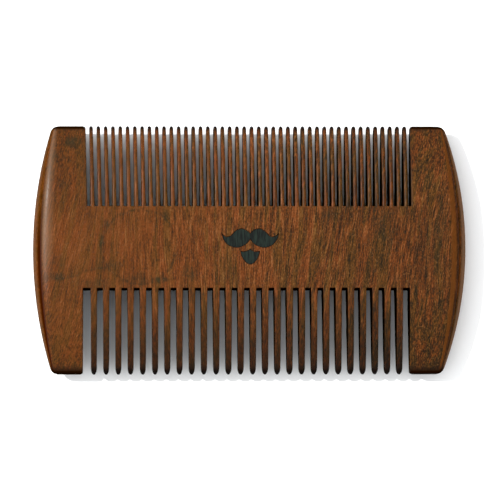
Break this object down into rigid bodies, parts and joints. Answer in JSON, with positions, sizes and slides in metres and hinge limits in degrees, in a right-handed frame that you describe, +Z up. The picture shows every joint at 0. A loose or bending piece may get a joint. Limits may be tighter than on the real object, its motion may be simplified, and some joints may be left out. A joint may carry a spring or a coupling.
{
  "type": "beard comb",
  "caption": "Flat double-sided wooden beard comb with fine teeth along one long edge, coarse teeth along the other, bullnosed end guards and a small engraved mark.",
  "frame": {"origin": "centre of the flat back of the spine, on the surface that the comb lies on, midway along its length and its width", "axes": "+X along the length towards the right-hand guard, +Y across the comb towards the fine teeth, +Z up out of the marked face"},
  "size_m": [0.1044, 0.06, 0.009],
  "materials": {
    "comb_wood": "sanded and waxed, satin",
    "mark_filler": "matte dark green paint in the engraving"
  },
  "bodies": {
    "root": {"spine": "comb_wood", "left_end_guard": "comb_wood", "right_end_guard": "comb_wood", "coarse_tooth_01": "comb_wood", "coarse_tooth_02": "comb_wood", "coarse_tooth_03": "comb_wood", "coarse_tooth_04": "comb_wood", "coarse_tooth_05": "comb_wood", "coarse_tooth_06": "comb_wood", "coarse_tooth_07": "comb_wood", "coarse_tooth_08": "comb_wood", "coarse_tooth_09": "comb_wood", "coarse_tooth_10": "comb_wood", "coarse_tooth_11": "comb_wood", "coarse_tooth_12": "comb_wood", "coarse_tooth_13": "comb_wood", "coarse_tooth_14": "comb_wood", "coarse_tooth_15": "comb_wood", "coarse_tooth_16": "comb_wood", "coarse_tooth_17": "comb_wood", "coarse_tooth_18": "comb_wood", "coarse_tooth_19": "comb_wood", "coarse_tooth_20": "comb_wood", "coarse_tooth_21": "comb_wood", "coarse_tooth_22": "comb_wood", "coarse_tooth_23": "comb_wood", "coarse_tooth_24": "comb_wood", "coarse_tooth_25": "comb_wood", "coarse_tooth_26": "comb_wood", "fine_tooth_pair_01": "comb_wood", "fine_tooth_pair_02": "comb_wood", "fine_tooth_pair_03": "comb_wood", "fine_tooth_pair_04": "comb_wood", "fine_tooth_pair_05": "comb_wood", "fine_tooth_pair_06": "comb_wood", "fine_tooth_pair_07": "comb_wood", "fine_tooth_pair_08": "comb_wood", "fine_tooth_pair_09": "comb_wood", "fine_tooth_pair_10": "comb_wood", "fine_tooth_pair_11": "comb_wood", "fine_tooth_pair_12": "comb_wood", "fine_tooth_pair_13": "comb_wood", "fine_tooth_pair_14": "comb_wood", "fine_tooth_pair_15": "comb_wood", "fine_tooth_pair_16": "comb_wood", "fine_tooth_pair_17": "comb_wood", "fine_tooth_pair_18": "comb_wood", "fine_tooth_pair_19": "comb_wood", "fine_tooth_pair_20": "comb_wood", "fine_tooth_pair_21": "comb_wood", "fine_tooth_pair_22": "comb_wood", "moustache_filler": "mark_filler", "goatee_filler": "mark_filler"}
  },
  "joints": []
}
